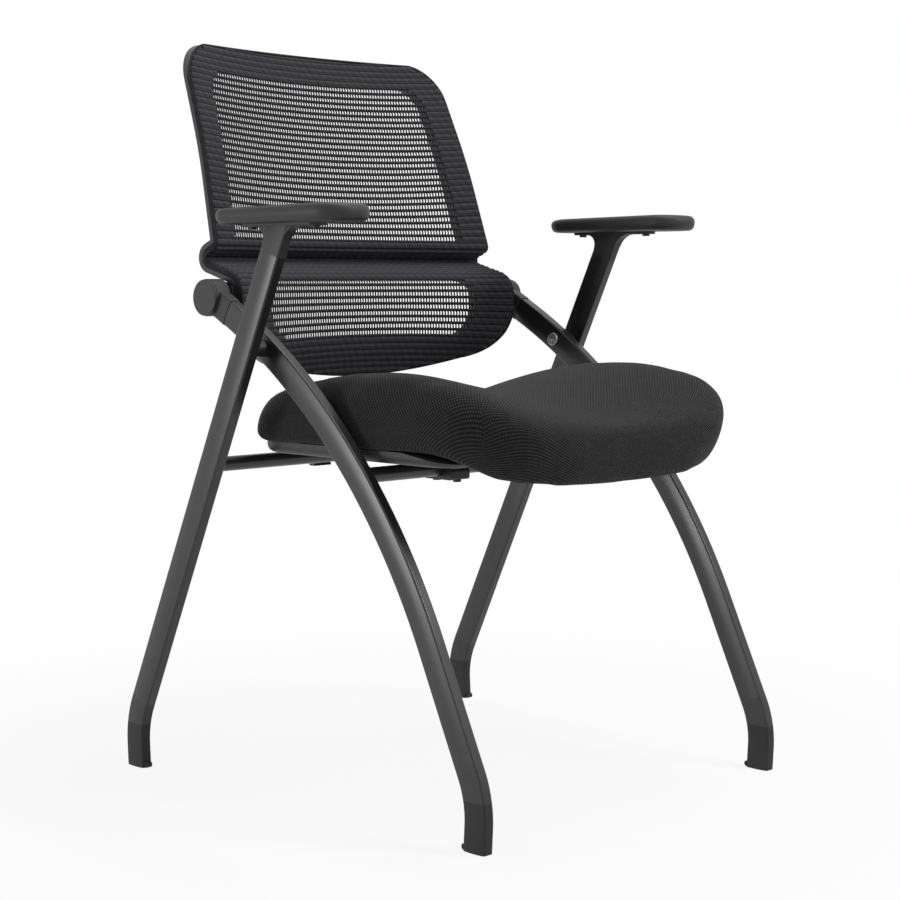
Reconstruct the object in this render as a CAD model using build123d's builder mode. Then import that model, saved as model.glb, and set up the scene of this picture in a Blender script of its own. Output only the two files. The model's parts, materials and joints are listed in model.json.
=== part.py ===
"""Folding visitor chair: crossed tube frames, a cushioned seat and a sprung net back.

Millimetres. X is across the chair, Y points to its rear, Z is up and the floor is Z = 0.
"""

import os
from math import cos, hypot, radians, sin, sqrt, tan

from build123d import *

os.makedirs("parts", exist_ok=True)

SIDES = (("left", -1), ("right", 1))
ENDS = (("front", -1), ("rear", 1))

# Clearances
fit_gap = 0.05          # between pieces of one body that touch
run_gap = 0.05          # radial, on a pin that turns
face_gap = 0.3          # between faces that move past each other
soft_gap = 0.3          # round upholstery
plug_gap = 0.3          # round a plug in a tube
cut_over = 5.0          # how far a cutting shape reaches past what it cuts

# Leg tube: narrow flat edges and bowed broad faces
tube_width = 30.4
tube_edge = 12.8
tube_bow = 1.5
tube_wall = 1.5
tube_round = 2.2
plug_length = 22.0

# Rear and front legs
leg_lean = 25.08        # degrees from upright, rear legs and lower front legs
foot_spread = 297.6     # from the middle of the chair to where a leg's axis meets the floor
rear_leg_x = 275.8
front_leg_x = 243.3
bend_start = 202.2      # height at which the front leg begins to bow
bend_radius = 753.5
bend_turn = 37.9        # degrees that the front leg turns through up to the hub
foot_seam = 83.0        # height of the tube's lower end

# Feet
foot_base = 269.4       # from the middle of the chair to the middle of a foot at the floor
foot_toe_in = 3.0       # degrees
foot_bend = 110.0
boot_height = 53.0
nub_radius = 3.4
nub_reach = 1.2         # how far the nub's axis stands off the boot's face
nub_length = 8.0

# Crossbars
bar_radius = 8.5
bar_wall = 1.5
bar_height = 375.0

# Frame crossing
bolt_radius = 4.0
bolt_head_radius = 8.4
bolt_head_height = 2.4
bolt_socket = 2.9       # across corners, as a radius
bolt_socket_depth = 1.4
spacer_radius = 9.5
nut_radius = 7.0
nut_thickness = 7.0
nut_stand = 0.6         # clear of the bowed wall

# Hubs
hub_radius = 21.6
hub_inner = 233.6
hub_outer = 253.8
hub_stub = 23.3         # straight length from the end of the bow to the hub's axis
hub_socket = 38.0       # from the hub's axis to the tube's end
hub_collar = 0.7        # how far the socket stands proud of the tube
hub_plug_length = 12.0
hub_edge = 1.2
cap_inset = 0.6
cap_thickness = 3.2
cap_edge = 1.2
axle_radius = 5.0
axle_end_gap = 1.0
bush_radius = 11.0
bush_length = 20.0
boss_radius = 18.0
boss_length = 25.0
web_half_height = 14.0
web_depth_in = 4.0      # how far the web sinks into the rail

# Arms
arm_y = -19.6           # middle of the pad
arm_length = 213.0
arm_width = 72.0
arm_bottom = 646.0
arm_neck = 31.0         # from the rear tube's upper end to the pad's underside
arm_thickness = 20.4
arm_corner = 32.0
arm_top_round = 7.0
arm_bottom_round = 4.0
bracket_rear = 54.0
bracket_front = -69.0
bracket_width = 26.0
bracket_plate = 3.2
bracket_corner = 9.0
flare_rear = 12.0
flare_front = 25.0
flare_tail = 1.0        # straight length past each end of a flare
flare_cheek = 12.4      # thickness of the flares under the plate
arm_screw_radius = 2.5
arm_screw_head = 4.6
arm_screw_head_height = 2.6
arm_screw_length = 14.0
arm_screw_end = 9.0     # from the plate's end

# Seat
seat_half_width = 229.5
seat_front = -277.0
seat_rear = 130.0
seat_front_corner = 88.0
seat_rear_corner = 65.0
seat_seam = 402.0       # underside of the cushion
seat_crest = 485.0      # highest line of the side bolsters
seat_crest_y = -100.0
seat_fall_front = 0.0013    # how fast the crest falls away, per millimetre
seat_fall_rear = 0.0008
seat_dish = 24.0
seat_tuck = 13.0        # how far the sides draw in at the seam
droop_start = -135.0
seat_droop = 19.0       # how far the seam has dropped after the run below
droop_run = 100.0
droop_power = 3
lip_sag = 8.0           # how much lower the front lip hangs at its middle
lip_rise = 36.0
nose_rise = 74.0
nose_over = 18.0        # above the seam, where the front bulges most
tail_rise = 46.0
tail_over = 22.0
first_cut = 2.5         # first section from either end
shoulder_inset = 12.0
shoulder_rise = 0.82    # shares of the section's height
bulge_rise = 0.42
crest_inset = 34.0
bolster_width = 90.0
bolster_fall = 0.62

# Pan and board under the cushion
pan_inset = 6.0
pan_front = -205.0
pan_bottom = 388.0
pan_floor = 3.0
pan_wall = 3.5
pan_edge = 9.0
pan_front_corner = 30.0
pan_nose = 3.0          # height left at the pan's front edge
board_gap = 0.4

# Clamps on the front bar, hooks over the rear bar
clamp_x = 110.0
clamp_width = 28.0
clamp_half_depth = 22.0
clamp_drop = 12.0       # below the bar's axis
clamp_round = 3.0
hook_x = 103.0
hook_width = 26.0
hook_plate = 4.0
hook_reach = 56.0       # the plate's length forward of the bar
hook_back = 15.5        # from the bar's axis to the hook's rear face
hook_drop = 12.5
hook_clear = 0.7
hook_angle = 19.5       # degrees from straight down at which the bar leaves the hook
screw_radius = 2.5
screw_head_radius = 4.6
screw_head_height = 2.6
screw_in_board = 7.0
clamp_screw_y = 16.0
hook_screw_first = 22.0
hook_screw_pitch = 20.0

# Back: the line of its front face on the middle plane, from the top down
fold_point = (236.5, 610)     # the bottom of the fold
back_line = [(282, 871), (233, 738), (205, 624), fold_point, (165, 589), (159, 503), (180, 462)]
back_rounds = [700, 9, 5, 26, 60]
bow_radius = 500.0      # from the axis that the back is bowed about to the chair's middle
bow_half_angle = 24.0
net_thickness = 1.6
net_inset = 1.5         # from the rail's edge to the net's edge
net_columns = 12        # openings across, coarser than the real knit
upper_net_rows = 14
lumbar_net_rows = 5
net_bar = 4.0           # what is left between two openings
rail_depth = 13.0
back_top = 869.0
back_top_half = 209.0
back_top_corner = 50.0
back_waist = 620.0
back_half_width = 228.0
back_side_bottom = 545.0
back_corner = (199.0, 501.0)
back_bottom_half = 157.0
back_bottom_rise = 484.0
back_bottom = 465.0
upper_rail_width = 36.0
lumbar_rail_width = 55.0
rail_split = 96.0       # from the back's edge to where the side rails meet those across
window_top_corner = 30.0
lumbar_top_corner = 20.0
lumbar_low_corner = 40.0
window_top = 836.0
waist_top = 632.0
waist_bottom = 588.0
window_bottom = 513.0

# Derived: tubes and legs
lean = radians(leg_lean)
tube_depth = tube_edge + 2 * tube_bow
arm_seam = arm_bottom - arm_neck
end_lean = lean + radians(bend_turn)
bow_y = bend_start * tan(lean) - foot_spread + bend_radius * cos(lean)
bow_z = bend_start - bend_radius * sin(lean)
hub_y = bow_y - bend_radius * cos(end_lean) + hub_stub * sin(end_lean)
hub_z = bow_z + bend_radius * sin(end_lean) + hub_stub * cos(end_lean)
tube_end_lean = end_lean - (hub_socket - hub_stub) / bend_radius
tube_end_y = bow_y - bend_radius * cos(tube_end_lean)
tube_end_z = bow_z + bend_radius * sin(tube_end_lean)

# Derived: the crossing is where the rear leg's straight axis meets the front leg's bow
cross_a = 1 + tan(lean) ** 2
cross_b = -2 * tan(lean) * (foot_spread - bow_y) - 2 * bow_z
cross_c = (foot_spread - bow_y) ** 2 + bow_z**2 - bend_radius**2
pivot_z = (-cross_b + sqrt(cross_b**2 - 4 * cross_a * cross_c)) / (2 * cross_a)
pivot_y = foot_spread - pivot_z * tan(lean)
rear_bar_y = foot_spread - bar_height * tan(lean)
front_bar_y = bow_y - sqrt(bend_radius**2 - (bar_height - bow_z) ** 2)

# Derived: crossing, feet, arms, seat
front_inner = front_leg_x - tube_depth / 2
front_outer = front_leg_x + tube_depth / 2
rear_inner = rear_leg_x - tube_depth / 2
foot_toe = tan(radians(foot_toe_in))
knee_z = (foot_spread - foot_base) / (tan(lean) + foot_toe)
knee_y = foot_base + knee_z * foot_toe
nose_height = seat_seam + nose_over
tail_height = seat_seam + tail_over
pan_top = seat_seam - soft_gap
pan_half = seat_half_width - pan_inset
pan_rear = seat_rear - pan_inset
board_front = droop_start
screw_top = pan_bottom + pan_floor + screw_in_board
arm_screw_ys = (bracket_front + arm_screw_end, bracket_rear - arm_screw_end)
hook_screw_ys = (
    rear_bar_y - hook_screw_first,
    rear_bar_y - hook_screw_first - hook_screw_pitch,
)
clamp_screw_ys = (front_bar_y - clamp_screw_y, front_bar_y + clamp_screw_y)


def save(piece, label):
    """Name a finished piece and write its file."""
    piece.part.label = label
    export_step(piece.part, f"parts/{label}.step")


def tube_outline(shrink=0.0):
    """The leg tube's outer outline, drawn in by the given amount."""
    half_width = tube_width / 2
    half_edge = tube_edge / 2
    crown = half_edge + tube_bow
    with BuildSketch() as outline:
        with BuildLine():
            Line((half_width, -half_edge), (half_width, half_edge))
            ThreePointArc((half_width, half_edge), (0, crown), (-half_width, half_edge))
            Line((-half_width, half_edge), (-half_width, -half_edge))
            ThreePointArc((-half_width, -half_edge), (0, -crown), (half_width, -half_edge))
        make_face()
        fillet(outline.vertices(), tube_round)
        if shrink:
            offset(amount=-shrink, mode=Mode.REPLACE)
    return outline.sketch


def leg_plane(x, end, height):
    """Square across a leg's straight part at a height, facing up the leg."""
    y = end * (foot_spread - height * tan(lean))
    return Plane((x, y, height), x_dir=(0, cos(lean), end * sin(lean)), z_dir=(0, -end * sin(lean), cos(lean)))


def hub_plane(sign):
    """Square across the front tube's upper end, facing the hub."""
    across = (0, cos(tube_end_lean), -sin(tube_end_lean))
    along = (0, sin(tube_end_lean), cos(tube_end_lean))
    return Plane((sign * front_leg_x, tube_end_y, tube_end_z), x_dir=across, z_dir=along)


def side_pin(start, end, y, z, radius):
    """A round bar along X."""
    with BuildPart() as pin:
        with BuildSketch(Plane.YZ.offset(start)):
            with Locations((y, z)):
                Circle(radius)
        extrude(amount=end - start)
    return pin.part


def upright_pin(x, y, bottom, top, radius):
    """A round bar along Z."""
    with BuildPart() as pin:
        with BuildSketch(Plane.XY.offset(bottom)):
            with Locations((x, y)):
                Circle(radius)
        extrude(amount=top - bottom)
    return pin.part


def foot_body(x, end):
    """A whole foot, from the tube's end to the floor."""
    start = leg_plane(x, end, foot_seam)
    below = -cut_over
    with BuildPart() as body:
        with BuildLine(Plane.YZ.offset(x)):
            FilletPolyline(
                (start.origin.Y, foot_seam),
                (end * knee_y, knee_z),
                (end * (foot_base + below * foot_toe), below),
                radius=foot_bend,
            )
        with BuildSketch(Plane(start.origin, x_dir=start.x_dir, z_dir=-start.z_dir)):
            add(tube_outline())
        sweep()
        split(bisect_by=Plane.XY, keep=Keep.TOP)
    return body.part


# Legs
for side, sign in SIDES:
    with BuildPart() as rear_leg:
        with BuildSketch(leg_plane(sign * rear_leg_x, 1, foot_seam)):
            add(tube_outline())
            add(tube_outline(tube_wall), mode=Mode.SUBTRACT)
        extrude(amount=(arm_seam - foot_seam) / cos(lean))
        hole_end = sign * (rear_inner + tube_depth / 2)
        add(
            side_pin(sign * (rear_inner - cut_over), hole_end, pivot_y, pivot_z, bolt_radius + fit_gap),
            mode=Mode.SUBTRACT,
        )
    save(rear_leg, f"rear_leg_{side}")

    with BuildPart() as front_leg:
        start = leg_plane(sign * front_leg_x, -1, foot_seam)
        mid_lean = (lean + tube_end_lean) / 2
        with BuildLine(Plane.YZ.offset(sign * front_leg_x)):
            bend_point = (bow_y - bend_radius * cos(lean), bend_start)
            Line((start.origin.Y, foot_seam), bend_point)
            ThreePointArc(
                bend_point,
                (bow_y - bend_radius * cos(mid_lean), bow_z + bend_radius * sin(mid_lean)),
                (tube_end_y, tube_end_z),
            )
        with BuildSketch(start):
            add(tube_outline())
            add(tube_outline(tube_wall), mode=Mode.SUBTRACT)
        sweep()
        add(
            side_pin(
                sign * (front_inner - cut_over),
                sign * (front_outer + cut_over),
                pivot_y,
                pivot_z,
                bolt_radius + run_gap,
            ),
            mode=Mode.SUBTRACT,
        )
    save(front_leg, f"front_leg_{side}")

# Crossbars
for end, bar_y, half in (("front", front_bar_y, front_inner), ("rear", rear_bar_y, rear_inner)):
    with BuildPart() as crossbar:
        with BuildSketch(Plane.YZ):
            with Locations((bar_y, bar_height)):
                Circle(bar_radius)
                Circle(bar_radius - bar_wall, mode=Mode.SUBTRACT)
        extrude(amount=half, both=True)
    save(crossbar, f"{end}_crossbar")

# Frame crossing: bolt, spacer and the nut inside the rear tube
nut_start = rear_inner + tube_wall + nut_stand
for side, sign in SIDES:
    with BuildPart() as pivot_bolt:
        head_seat = front_inner - face_gap
        head_end = head_seat - bolt_head_height
        add(side_pin(sign * head_end, sign * head_seat, pivot_y, pivot_z, bolt_head_radius))
        fillet(pivot_bolt.edges().group_by(Axis.X)[-1 if sign < 0 else 0], bolt_head_height / 3)
        add(side_pin(sign * head_seat, sign * (nut_start + nut_thickness), pivot_y, pivot_z, bolt_radius))
        with BuildSketch(Plane.YZ.offset(sign * head_end)):
            with Locations((pivot_y, pivot_z)):
                RegularPolygon(bolt_socket, 6)
        extrude(amount=sign * bolt_socket_depth, mode=Mode.SUBTRACT)
    save(pivot_bolt, f"pivot_bolt_{side}")

    with BuildPart() as pivot_spacer:
        spacer_start = sign * (front_outer + face_gap)
        spacer_end = sign * (rear_inner - fit_gap)
        add(side_pin(spacer_start, spacer_end, pivot_y, pivot_z, spacer_radius))
        add(side_pin(spacer_start, spacer_end, pivot_y, pivot_z, bolt_radius + fit_gap), mode=Mode.SUBTRACT)
    save(pivot_spacer, f"pivot_spacer_{side}")

    with BuildPart() as pivot_nut:
        nut_end = sign * (nut_start + nut_thickness)
        add(side_pin(sign * nut_start, nut_end, pivot_y, pivot_z, nut_radius))
        add(side_pin(sign * nut_start, nut_end, pivot_y, pivot_z, bolt_radius + fit_gap), mode=Mode.SUBTRACT)
    save(pivot_nut, f"pivot_nut_{side}")

# Feet and their rubber boots
for end_name, end in ENDS:
    for side, sign in SIDES:
        foot_x = sign * (rear_leg_x if end > 0 else front_leg_x)
        with BuildPart() as foot:
            add(foot_body(foot_x, end))
            split(bisect_by=Plane.XY.offset(boot_height), keep=Keep.TOP)
            with BuildSketch(leg_plane(foot_x, end, foot_seam)):
                add(tube_outline(tube_wall + plug_gap))
            extrude(amount=plug_length)
        save(foot, f"{end_name}_foot_{side}")

        with BuildPart() as boot:
            add(foot_body(foot_x, end))
            split(bisect_by=Plane.XY.offset(boot_height), keep=Keep.BOTTOM)
            nub_y = end * (foot_base - tube_width / 2 - nub_reach)
            nub_start = foot_x - nub_length / 2
            add(side_pin(nub_start, nub_start + nub_length, nub_y, nub_radius, nub_radius))
        save(boot, f"{end_name}_boot_{side}")

# Arm brackets, pads and their screws
plate_bottom = arm_bottom - bracket_plate
neck_y = foot_spread - plate_bottom * tan(lean)
neck_half = tube_width / 2 / cos(lean)
rear_run = flare_rear * tan((radians(90) + lean) / 2) + flare_tail
front_run = flare_front * tan((radians(90) - lean) / 2) + flare_tail
rear_corner = (neck_y + neck_half, plate_bottom)
front_corner = (neck_y - neck_half, plate_bottom)
flare_outline = [
    (rear_corner[0] + rear_run * sin(lean), plate_bottom - rear_run * cos(lean)),
    rear_corner,
    (rear_corner[0] + rear_run, plate_bottom),
    (rear_corner[0] + rear_run, arm_bottom),
    (front_corner[0] - front_run, arm_bottom),
    (front_corner[0] - front_run, plate_bottom),
    front_corner,
    (front_corner[0] + front_run * sin(lean), plate_bottom - front_run * cos(lean)),
]
flare_rounds = [0, flare_rear, 0, 0, 0, 0, flare_front, 0]
for side, sign in SIDES:
    arm_x = sign * rear_leg_x
    with BuildPart() as arm_bracket:
        neck_plane = leg_plane(arm_x, 1, arm_seam)
        with BuildSketch(neck_plane):
            add(tube_outline())
        extrude(amount=(arm_bottom - arm_seam) / cos(lean) + tube_width)
        split(bisect_by=Plane.XY.offset(arm_bottom), keep=Keep.BOTTOM)
        with BuildSketch(Plane.YZ.offset(arm_x)):
            with BuildLine():
                FilletPolyline(*flare_outline, radius=flare_rounds, close=True)
            make_face()
        extrude(amount=flare_cheek / 2, both=True)
        with BuildSketch(Plane.XY.offset(plate_bottom)):
            with Locations((arm_x, (bracket_rear + bracket_front) / 2)):
                RectangleRounded(bracket_width, bracket_rear - bracket_front, bracket_corner)
        extrude(amount=bracket_plate)
        with BuildSketch(neck_plane):
            add(tube_outline(tube_wall + plug_gap))
        extrude(amount=-plug_length)
        for y in arm_screw_ys:
            add(
                upright_pin(arm_x, y, plate_bottom - cut_over, arm_bottom + cut_over, arm_screw_radius + fit_gap),
                mode=Mode.SUBTRACT,
            )
    save(arm_bracket, f"arm_bracket_{side}")

    with BuildPart() as arm_pad:
        with BuildSketch(Plane.XY.offset(arm_bottom)):
            with Locations((arm_x, arm_y)):
                RectangleRounded(arm_width, arm_length, arm_corner)
        extrude(amount=arm_thickness)
        fillet(arm_pad.edges().group_by(Axis.Z)[-1], arm_top_round)
        fillet(arm_pad.edges().group_by(Axis.Z)[0], arm_bottom_round)
        for y in arm_screw_ys:
            add(
                upright_pin(arm_x, y, arm_bottom, plate_bottom + arm_screw_length, arm_screw_radius + fit_gap),
                mode=Mode.SUBTRACT,
            )
    save(arm_pad, f"arm_pad_{side}")

with BuildPart() as arm_screws:
    for side, sign in SIDES:
        for y in arm_screw_ys:
            head_bottom = plate_bottom - arm_screw_head_height
            screw_x = sign * rear_leg_x
            add(upright_pin(screw_x, y, head_bottom, plate_bottom, arm_screw_head))
            add(upright_pin(screw_x, y, plate_bottom, plate_bottom + arm_screw_length, arm_screw_radius))
save(arm_screws, "arm_screws")

# Hubs
for side, sign in SIDES:
    with BuildPart() as hub_housing:
        add(side_pin(sign * hub_inner, sign * hub_outer, hub_y, hub_z, hub_radius))
        fillet(hub_housing.edges(), hub_edge)
        with BuildSketch(hub_plane(sign)):
            add(tube_outline(-hub_collar))
        extrude(amount=hub_socket)
        with BuildSketch(hub_plane(sign)):
            add(tube_outline(tube_wall + plug_gap))
        extrude(amount=-hub_plug_length)
        add(
            side_pin(sign * (hub_inner - cut_over), sign * hub_outer, hub_y, hub_z, axle_radius + fit_gap),
            mode=Mode.SUBTRACT,
        )
    save(hub_housing, f"hub_housing_{side}")

    with BuildPart() as hub_cap:
        cap_end = hub_outer + cap_thickness
        add(side_pin(sign * hub_outer, sign * cap_end, hub_y, hub_z, hub_radius - cap_inset))
        fillet(hub_cap.edges().group_by(Axis.X)[0 if sign < 0 else -1], cap_edge)
    save(hub_cap, f"hub_cap_{side}")

    with BuildPart() as hub_axle:
        axle_start = hub_inner - bush_length - axle_end_gap
        axle_end = hub_outer - axle_end_gap
        add(side_pin(sign * axle_start, sign * axle_end, hub_y, hub_z, axle_radius))
    save(hub_axle, f"hub_axle_{side}")

    with BuildPart() as recline_bush:
        bush_end = hub_inner - face_gap - axle_end_gap
        bush_start = bush_end - bush_length
        add(side_pin(sign * bush_start, sign * bush_end, hub_y, hub_z, bush_radius))
        add(
            side_pin(sign * bush_start, sign * bush_end, hub_y, hub_z, axle_radius + run_gap),
            mode=Mode.SUBTRACT,
        )
    save(recline_bush, f"recline_bush_{side}")


def bowed(y, x):
    """Where a point of the middle plane goes when the back is bowed out to x."""
    return sqrt((bow_radius + y) ** 2 - x**2) - bow_radius


def shifted(points, rounds, distance):
    """A line of points and its corner radii, moved rearward by a distance."""
    normals = []
    for (y0, z0), (y1, z1) in zip(points, points[1:]):
        length = hypot(y1 - y0, z1 - z0)
        normals.append(((z0 - z1) / length, (y1 - y0) / length))
    moved = [(points[0][0] + distance * normals[0][0], points[0][1] + distance * normals[0][1])]
    radii = []
    for point, radius, before, after in zip(points[1:], rounds, normals, normals[1:]):
        share = 1 + before[0] * after[0] + before[1] * after[1]
        step_y = distance * (before[0] + after[0]) / share
        step_z = distance * (before[1] + after[1]) / share
        moved.append((point[0] + step_y, point[1] + step_z))
        turn = before[0] * after[1] - before[1] * after[0]
        radii.append(max(radius - distance, 1) if turn > 0 else radius + distance)
    last = normals[-1]
    moved.append((points[-1][0] + distance * last[0], points[-1][1] + distance * last[1]))
    return moved, radii


def back_outline(inset=0.0):
    """The back's outline seen from the front."""
    top_half = back_top_half - inset
    half = back_half_width - inset
    with BuildSketch() as outline:
        with BuildLine():
            corner_x = back_corner[0] - inset * cos(radians(45))
            corner_z = back_corner[1] + inset * cos(radians(45))
            bottom_half = back_bottom_half
            ThreePointArc(
                (-bottom_half, back_bottom_rise + inset),
                (0, back_bottom + inset),
                (bottom_half, back_bottom_rise + inset),
            )
            for sign in (-1, 1):
                ThreePointArc(
                    (sign * bottom_half, back_bottom_rise + inset),
                    (sign * corner_x, corner_z),
                    (sign * half, back_side_bottom),
                )
            FilletPolyline(
                (-half, back_side_bottom),
                (-half, back_waist),
                (-top_half, back_top - inset),
                (top_half, back_top - inset),
                (half, back_waist),
                (half, back_side_bottom),
                radius=[0, back_top_corner, back_top_corner, 0],
            )
        make_face()
    return outline.sketch


def back_band(points, rounds, near, far, inset):
    """A bowed band behind the back's front line, between two depths, cut to the back's outline."""
    start = radians(bow_half_angle)
    radial = Plane(
        (0, -bow_radius, 0),
        x_dir=(sin(start), cos(start), 0),
        z_dir=(cos(start), -sin(start), 0),
    )
    near_points, near_rounds = shifted(points, rounds, near)
    far_points, far_rounds = shifted(points, rounds, far)
    with BuildPart() as band:
        with BuildSketch(radial):
            with BuildLine():
                front = FilletPolyline(*[(bow_radius + y, z) for y, z in near_points], radius=near_rounds)
                rear = FilletPolyline(*[(bow_radius + y, z) for y, z in far_points], radius=far_rounds)
                Line(front @ 0, rear @ 0)
                Line(front @ 1, rear @ 1)
            make_face()
        revolve(axis=Axis((0, -bow_radius, 0), (0, 0, 1)), revolution_arc=2 * bow_half_angle)
        with BuildSketch(Plane.XZ):
            add(back_outline(inset))
        extrude(amount=back_top, both=True, mode=Mode.INTERSECT)
    return band.part


def rail_strip(points):
    """The part of the back's rails that lies inside an outline seen from the front."""
    with BuildPart() as strip:
        add(back_band(back_line, back_rounds, net_thickness + fit_gap, rail_depth, 0))
        with BuildSketch(Plane.XZ):
            Polygon(*points, align=None)
        extrude(amount=back_top, both=True, mode=Mode.INTERSECT)
    return strip.part



def window(outline, rounds):
    """A window through the rails, from its outline seen from the front."""
    with BuildPart() as cut:
        with BuildSketch(Plane.XZ):
            with BuildLine():
                FilletPolyline(*outline, radius=rounds, close=True)
            make_face()
        extrude(amount=back_top, both=True)
    return cut.part


# Back rails, with the hub bosses on the side rails
inner_half = back_half_width - rail_split
inner_top = back_top_half - rail_split
edge_slope = (inner_half - inner_top) / (back_top - back_waist)
past_edge = back_half_width + cut_over
past_top = back_top + cut_over
inner_past_top = inner_top - (past_top - back_top) * edge_slope
rail_floor = back_bottom - cut_over
boss_end = hub_inner - face_gap
boss_start = boss_end - boss_length
hub_line_share = (hub_z - back_line[5][1]) / (back_line[4][1] - back_line[5][1])
rail_front_y = back_line[5][0] + hub_line_share * (back_line[4][0] - back_line[5][0])
web_front = bowed(rail_front_y, boss_start) + net_thickness + web_depth_in
upper_low_half = back_half_width - upper_rail_width - (waist_top - back_waist) * edge_slope
upper_top_half = back_half_width - upper_rail_width - (window_top - back_waist) * edge_slope
lumbar_half = back_half_width - lumbar_rail_width
upper_window = window(
    [
        (-upper_low_half, waist_top),
        (upper_low_half, waist_top),
        (upper_top_half, window_top),
        (-upper_top_half, window_top),
    ],
    [0, 0, window_top_corner, window_top_corner],
)
lumbar_window = window(
    [
        (-lumbar_half, window_bottom),
        (lumbar_half, window_bottom),
        (lumbar_half, waist_bottom),
        (-lumbar_half, waist_bottom),
    ],
    [lumbar_low_corner, lumbar_low_corner, lumbar_top_corner, lumbar_top_corner],
)
for side, sign in SIDES:
    with BuildPart() as side_rail:
        add(
            rail_strip(
                [
                    (sign * inner_half, rail_floor),
                    (sign * inner_half, back_waist),
                    (sign * inner_past_top, past_top),
                    (sign * past_edge, past_top),
                    (sign * past_edge, rail_floor),
                ]
            )
        )
        add(upper_window, mode=Mode.SUBTRACT)
        add(lumbar_window, mode=Mode.SUBTRACT)
        add(side_pin(sign * boss_start, sign * boss_end, hub_y, hub_z, boss_radius))
        with BuildSketch(Plane.YZ.offset(sign * boss_start)):
            with Locations(((web_front + hub_y) / 2, hub_z)):
                Rectangle(hub_y - web_front, 2 * web_half_height)
        extrude(amount=sign * boss_length)
        add(
            side_pin(
                sign * (boss_start - cut_over),
                sign * (boss_end + cut_over),
                hub_y,
                hub_z,
                bush_radius + fit_gap,
            ),
            mode=Mode.SUBTRACT,
        )
    save(side_rail, f"side_rail_{side}")

window_top_half = inner_half - (window_top - back_waist) * edge_slope
with BuildPart() as top_rail:
    add(
        rail_strip(
            [
                (-window_top_half, window_top),
                (window_top_half, window_top),
                (inner_past_top, past_top),
                (-inner_past_top, past_top),
            ]
        )
    )
save(top_rail, "top_rail")

waist_top_half = inner_half - (waist_top - back_waist) * edge_slope
with BuildPart() as waist_rail:
    add(
        rail_strip(
            [
                (-inner_half, waist_bottom),
                (inner_half, waist_bottom),
                (inner_half, back_waist),
                (waist_top_half, waist_top),
                (-waist_top_half, waist_top),
                (-inner_half, back_waist),
            ]
        )
    )
save(waist_rail, "waist_rail")

with BuildPart() as bottom_rail:
    add(
        rail_strip(
            [
                (-inner_half, rail_floor),
                (inner_half, rail_floor),
                (inner_half, window_bottom),
                (-inner_half, window_bottom),
            ]
        )
    )
save(bottom_rail, "bottom_rail")


def net_openings(half, low, high, rows):
    """The openings of a net, as bars that cut it from front to rear."""
    across = 2 * half / net_columns
    down = (high - low) / rows
    with BuildPart() as openings:
        with BuildSketch(Plane.XZ):
            with Locations((0, (low + high) / 2)):
                with GridLocations(across, down, net_columns, rows):
                    Rectangle(across - net_bar, down - net_bar)
        extrude(amount=back_top, both=True)
    return openings.part


# Nets on the front of the rails, meeting behind the fold
fold = back_line.index(fold_point)
meet = tuple((a + b) / 2 for a, b in zip(back_line[fold], back_line[fold + 1]))
with BuildPart() as upper_net:
    add(back_band(back_line[: fold + 1] + [meet], back_rounds[:fold], 0, net_thickness, net_inset))
    add(net_openings(upper_top_half, waist_top, window_top, upper_net_rows), mode=Mode.SUBTRACT)
save(upper_net, "upper_net")

with BuildPart() as lumbar_net:
    add(back_band([meet] + back_line[fold + 1 :], back_rounds[fold:], 0, net_thickness, net_inset))
    add(net_openings(lumbar_half, window_bottom, waist_bottom, lumbar_net_rows), mode=Mode.SUBTRACT)
save(lumbar_net, "lumbar_net")


def corner_loss(distance, radius):
    """How far a rounded corner draws in the side, at a distance from the end."""
    if distance >= radius:
        return 0.0
    return radius - sqrt(radius**2 - (radius - distance) ** 2)


def end_share(distance, run):
    """The share of the full height that is left at a distance from a rounded end."""
    if distance >= run:
        return 1.0
    return sqrt(1 - (1 - distance / run) ** 2)


def cushion_section(y):
    """The cushion's outline square across the chair at y."""
    from_front = y - seat_front
    from_rear = seat_rear - y
    half = seat_half_width - corner_loss(from_front, seat_front_corner) - corner_loss(from_rear, seat_rear_corner)
    fall = seat_fall_front if y < seat_crest_y else seat_fall_rear
    crest = seat_crest - fall * (y - seat_crest_y) ** 2
    dropped = (max(0, droop_start - y) / droop_run) ** droop_power
    share = end_share(from_front, nose_rise) * end_share(from_rear, tail_rise)
    low_share = end_share(from_front, lip_rise) * end_share(from_rear, tail_rise)
    middle = nose_height if y < seat_crest_y else tail_height
    top = middle + (crest - middle) * share
    bottom = middle - (middle - seat_seam + seat_droop * dropped) * low_share
    height = top - bottom
    dish = seat_dish * share**2
    low = (half - seat_tuck * share, bottom)
    shoulder = (half - shoulder_inset * share, bottom + shoulder_rise * height)
    inner = (half - bolster_width, top - bolster_fall * dish)
    with BuildSketch() as section:
        with BuildLine():
            if dropped:
                ThreePointArc((-low[0], bottom), (0, bottom - lip_sag * dropped * low_share), low)
            else:
                Line((-low[0], bottom), low)
            ThreePointArc(low, (half, bottom + bulge_rise * height), shoulder)
            ThreePointArc(shoulder, (half - crest_inset, top), inner)
            ThreePointArc(inner, (0, top - dish), (-inner[0], inner[1]))
            ThreePointArc((-inner[0], inner[1]), (crest_inset - half, top), (-shoulder[0], shoulder[1]))
            ThreePointArc(
                (-shoulder[0], shoulder[1]), (-half, bottom + bulge_rise * height), (-low[0], bottom)
            )
        make_face()
    return section.sketch


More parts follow.
